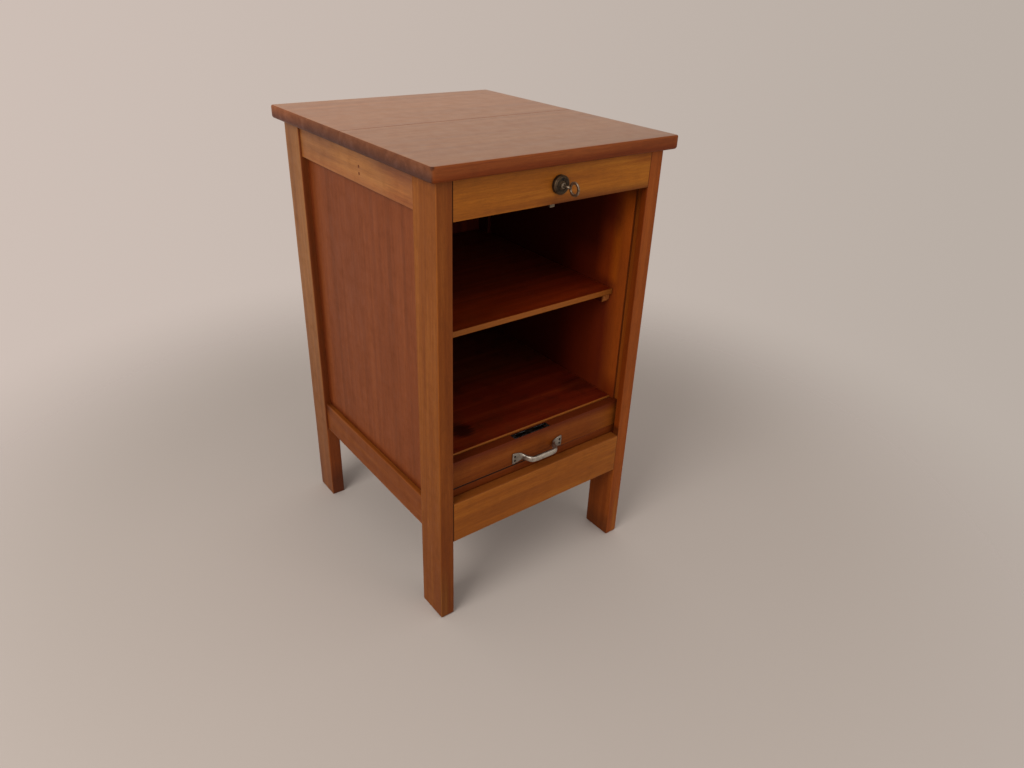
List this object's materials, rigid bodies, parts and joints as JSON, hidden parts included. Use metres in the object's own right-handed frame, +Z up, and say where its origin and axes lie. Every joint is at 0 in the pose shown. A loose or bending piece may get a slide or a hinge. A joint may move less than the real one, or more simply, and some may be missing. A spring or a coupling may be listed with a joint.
{
  "type": "tambour filing cabinet",
  "caption": "Small beech filing cabinet on corner legs, open above a lowered tambour curtain, with a lift-out shelf, a cast pull handle and a drum lock with its key.",
  "frame": {"origin": "on the floor, centred between the sides and between the key's ring and the top board's back edge", "axes": "+Z up, -Y out of the front where the curtain and lock are, +X to the right seen from the front"},
  "size_m": [0.4466, 0.5416, 0.78],
  "materials": {
    "top_wood": "semi-gloss shellac over stained beech, pinkish brown",
    "frame_wood": "satin varnish over stained beech, golden brown, worn",
    "rail_wood": "satin varnish over stained beech, golden",
    "panel_wood": "satin varnish over stained beech, redder brown",
    "inner_wood": "dull dark red-brown stain",
    "slat_wood": "satin varnish over stained beech, slightly darker",
    "cast_nickel": "cast, nickel plated, dulled",
    "steel": "plain steel, lightly worn",
    "dark_steel": "dark oxidised steel",
    "dark_bronze": "dark bronzed brass"
  },
  "bodies": {
    "carcass": {"top_board_front": "top_wood", "top_board_back": "top_wood", "leg_front_left": "frame_wood", "leg_front_right": "frame_wood", "leg_back_left": "frame_wood", "leg_back_right": "frame_wood", "front_bottom_rail": "frame_wood", "back_bottom_rail": "frame_wood", "back_top_rail": "frame_wood", "lock_rail": "rail_wood", "side_top_rail_left": "frame_wood", "side_top_rail_right": "frame_wood", "side_bottom_rail_left": "frame_wood", "side_bottom_rail_right": "frame_wood", "side_panel_left": "panel_wood", "side_panel_right": "panel_wood", "back_panel": "inner_wood", "floor_board": "inner_wood", "dust_panel": "inner_wood", "shelf_cleat_left": "inner_wood", "shelf_cleat_right": "inner_wood", "floor_cleat_left": "inner_wood", "floor_cleat_right": "inner_wood", "bend_guide_left": "inner_wood", "bend_guide_right": "inner_wood", "lock_flange": "dark_bronze", "flange_screw": "dark_steel", "lock_case": "dark_steel"},
    "curtain_lead": {"lead_rail": "rail_wood", "strike_plate": "steel", "strike_screw_left": "dark_steel", "strike_screw_right": "dark_steel", "handle": "cast_nickel", "handle_screw_upper_left": "dark_steel", "handle_screw_lower_left": "dark_steel", "handle_screw_upper_right": "dark_steel", "handle_screw_lower_right": "dark_steel", "slat_01": "slat_wood"},
    "bend_2": {"slat_02": "slat_wood"},
    "bend_3": {"slat_03": "slat_wood"},
    "bend_4": {"slat_04": "slat_wood"},
    "tail": {"slat_05": "slat_wood", "slat_06": "slat_wood", "slat_07": "slat_wood", "slat_08": "slat_wood", "slat_09": "slat_wood", "slat_10": "slat_wood", "slat_11": "slat_wood", "slat_12": "slat_wood", "slat_13": "slat_wood", "slat_14": "slat_wood", "slat_15": "slat_wood", "slat_16": "slat_wood", "slat_17": "slat_wood", "slat_18": "slat_wood"},
    "shelf": {"shelf": "inner_wood"},
    "plug": {"lock_plug": "dark_bronze"},
    "key": {"key": "steel"},
    "bolt": {"lock_bolt": "steel"}
  },
  "joints": [
    {"name": "curtain_slide", "type": "slide", "parent": "carcass", "child": "curtain_lead", "axis": [0, 0, 1], "range_m": [0, 0.401], "deforming": ["slat_02", "slat_03", "slat_04", "slat_05", "slat_06", "slat_07", "slat_08", "slat_09", "slat_10", "slat_11", "slat_12", "slat_13", "slat_14", "slat_15", "slat_16", "slat_17", "slat_18"]},
    {"name": "curtain_bend_1", "type": "hinge", "parent": "curtain_lead", "child": "bend_2", "pos_m": [0, -0.1985, 0.228], "axis": [-1, 0, 0], "range_deg": [0, 22.5]},
    {"name": "curtain_bend_2", "type": "hinge", "parent": "curtain_lead", "child": "bend_3", "pos_m": [0, -0.19611, 0.216], "axis": [-1, 0, 0], "range_deg": [0, 45]},
    {"name": "curtain_bend_3", "type": "hinge", "parent": "curtain_lead", "child": "bend_4", "pos_m": [0, -0.19205, 0.204], "axis": [-1, 0, 0], "range_deg": [0, 67.5]},
    {"name": "curtain_bend_4", "type": "hinge", "parent": "curtain_lead", "child": "tail", "pos_m": [0, -0.18617, 0.192], "axis": [-1, 0, 0], "range_deg": [0, 90]},
    {"name": "shelf_slide", "type": "slide", "parent": "carcass", "child": "shelf", "axis": [0, -1, 0], "range_m": [0, 0.018]},
    {"name": "key_turn", "type": "hinge", "parent": "carcass", "child": "plug", "pos_m": [-0.002, -0.2363, 0.729], "axis": [0, 1, 0], "range_deg": [0, 180]},
    {"name": "key_pull", "type": "slide", "parent": "plug", "child": "key", "axis": [0, -1, 0], "range_m": [0, 0.03]},
    {"name": "bolt_slide", "type": "slide", "parent": "carcass", "child": "bolt", "axis": [0, 0, 1], "range_m": [0, 0.0165]}
  ],
  "couplings": [
    {"joint": "curtain_bend_1", "follows": "curtain_slide", "rad_per_m": 0.97929},
    {"joint": "curtain_bend_2", "follows": "curtain_slide", "rad_per_m": 1.9586},
    {"joint": "curtain_bend_3", "follows": "curtain_slide", "rad_per_m": 2.9379},
    {"joint": "curtain_bend_4", "follows": "curtain_slide", "rad_per_m": 3.9172},
    {"joint": "key_turn", "follows": "bolt_slide", "rad_per_m": 190.39}
  ]
}
